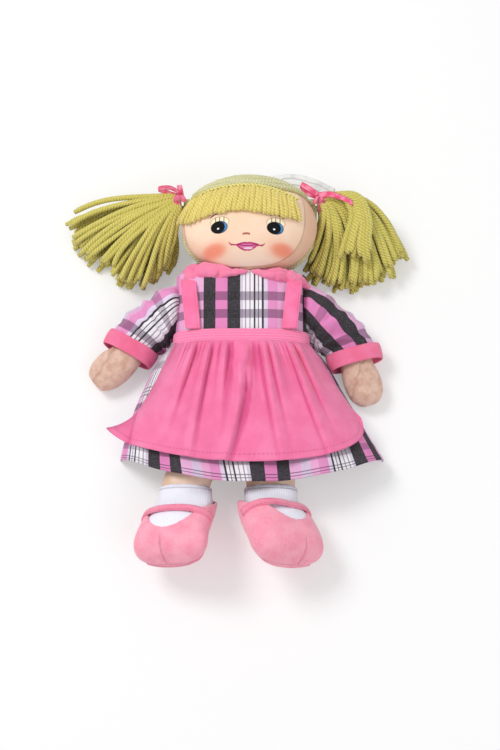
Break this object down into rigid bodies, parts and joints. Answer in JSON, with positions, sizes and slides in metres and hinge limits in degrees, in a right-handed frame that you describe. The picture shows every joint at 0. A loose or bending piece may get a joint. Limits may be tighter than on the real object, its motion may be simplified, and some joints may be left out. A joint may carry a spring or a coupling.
{
  "type": "rag doll",
  "caption": "Soft rag doll lying on its back, with yarn pigtails, a plaid dress, a pink apron, white socks and strap shoes.",
  "frame": {"origin": "on the floor under the middle of the apron's waistband, where the back of the dress rests", "axes": "+Y towards the crown of the head, +Z out of the front of the doll, +X to the doll's own left hand"},
  "size_m": [0.3297, 0.3892, 0.0988],
  "materials": {
    "skin_calico": "matt printed calico",
    "hand_calico": "matt calico",
    "filling": "polyester fibre filling",
    "yarn": "twisted acrylic yarn",
    "stitching": "chain stitch in yarn",
    "label_satin": "white satin tape",
    "plaid_cotton": "woven plaid cotton",
    "apron_cotton": "ribbed pink cotton",
    "ribbon_satin": "pink satin ribbon",
    "sock_jersey": "white cotton jersey",
    "shoe_felt": "brushed pink fleece felt"
  },
  "bodies": {
    "torso": {"torso_cover": "skin_calico", "torso_stuffing": "filling", "dress_bodice": "plaid_cotton", "apron_waistband": "apron_cotton", "right_apron_strap": "apron_cotton", "left_apron_strap": "apron_cotton", "right_collar": "apron_cotton", "left_collar": "apron_cotton"},
    "neck": {"neck": "skin_calico"},
    "head": {"head_cover": "skin_calico", "head_stuffing": "filling", "hair_cap": "yarn", "hair_fringe": "yarn", "parting_stitch": "stitching", "sewn_label": "label_satin"},
    "lap": {"hip_seam": "skin_calico", "dress_skirt": "plaid_cotton", "apron_skirt": "apron_cotton"},
    "right_hair": {"right_pigtail": "yarn", "right_ribbon": "ribbon_satin"},
    "right_arm": {"right_arm_cover": "hand_calico", "right_arm_stuffing": "filling", "right_sleeve": "plaid_cotton", "right_cuff": "apron_cotton"},
    "right_leg": {"right_leg_cover": "skin_calico", "right_leg_stuffing": "filling", "right_foot_stuffing": "filling", "right_sock": "sock_jersey", "right_shoe_upper": "shoe_felt", "right_sole": "shoe_felt", "right_shoe_strap": "shoe_felt"},
    "left_hair": {"left_pigtail": "yarn", "left_ribbon": "ribbon_satin"},
    "left_arm": {"left_arm_cover": "hand_calico", "left_arm_stuffing": "filling", "left_sleeve": "plaid_cotton", "left_cuff": "apron_cotton"},
    "left_leg": {"left_leg_cover": "skin_calico", "left_leg_stuffing": "filling", "left_foot_stuffing": "filling", "left_sock": "sock_jersey", "left_shoe_upper": "shoe_felt", "left_sole": "shoe_felt", "left_shoe_strap": "shoe_felt"}
  },
  "joints": [
    {"name": "neck_nod", "type": "hinge", "parent": "torso", "child": "neck", "pos_m": [0, 0.052, 0.038], "axis": [1, 0, 0], "range_deg": [-20, 10]},
    {"name": "head_turn", "type": "hinge", "parent": "neck", "child": "head", "pos_m": [0, 0.063, 0.038], "axis": [0, 1, 0], "range_deg": [-30, 30], "deforming": ["right_collar", "left_collar"]},
    {"name": "right_pigtail_swing", "type": "hinge", "parent": "head", "child": "right_hair", "pos_m": [-0.06062, 0.13852, 0.038], "axis": [0, 0, -1], "range_deg": [0, 50]},
    {"name": "left_pigtail_swing", "type": "hinge", "parent": "head", "child": "left_hair", "pos_m": [0.07562, 0.13852, 0.038], "axis": [0, 0, 1], "range_deg": [0, 50]},
    {"name": "right_arm_raise", "type": "hinge", "parent": "torso", "child": "right_arm", "pos_m": [-0.062, 0.036, 0.031], "axis": [-1, 0, 0], "range_deg": [0, 120]},
    {"name": "left_arm_raise", "type": "hinge", "parent": "torso", "child": "left_arm", "pos_m": [0.062, 0.036, 0.031], "axis": [-1, 0, 0], "range_deg": [0, 120]},
    {"name": "sit", "type": "hinge", "parent": "torso", "child": "lap", "pos_m": [0, -0.0342, 0.04], "axis": [-1, 0, 0], "range_deg": [0, 90], "deforming": ["dress_skirt", "apron_skirt"]},
    {"name": "right_leg_spread", "type": "hinge", "parent": "lap", "child": "right_leg", "pos_m": [-0.024, -0.0604, 0.025], "axis": [0, 0, -1], "range_deg": [0, 12]},
    {"name": "left_leg_spread", "type": "hinge", "parent": "lap", "child": "left_leg", "pos_m": [0.024, -0.0604, 0.025], "axis": [0, 0, 1], "range_deg": [0, 18]}
  ]
}
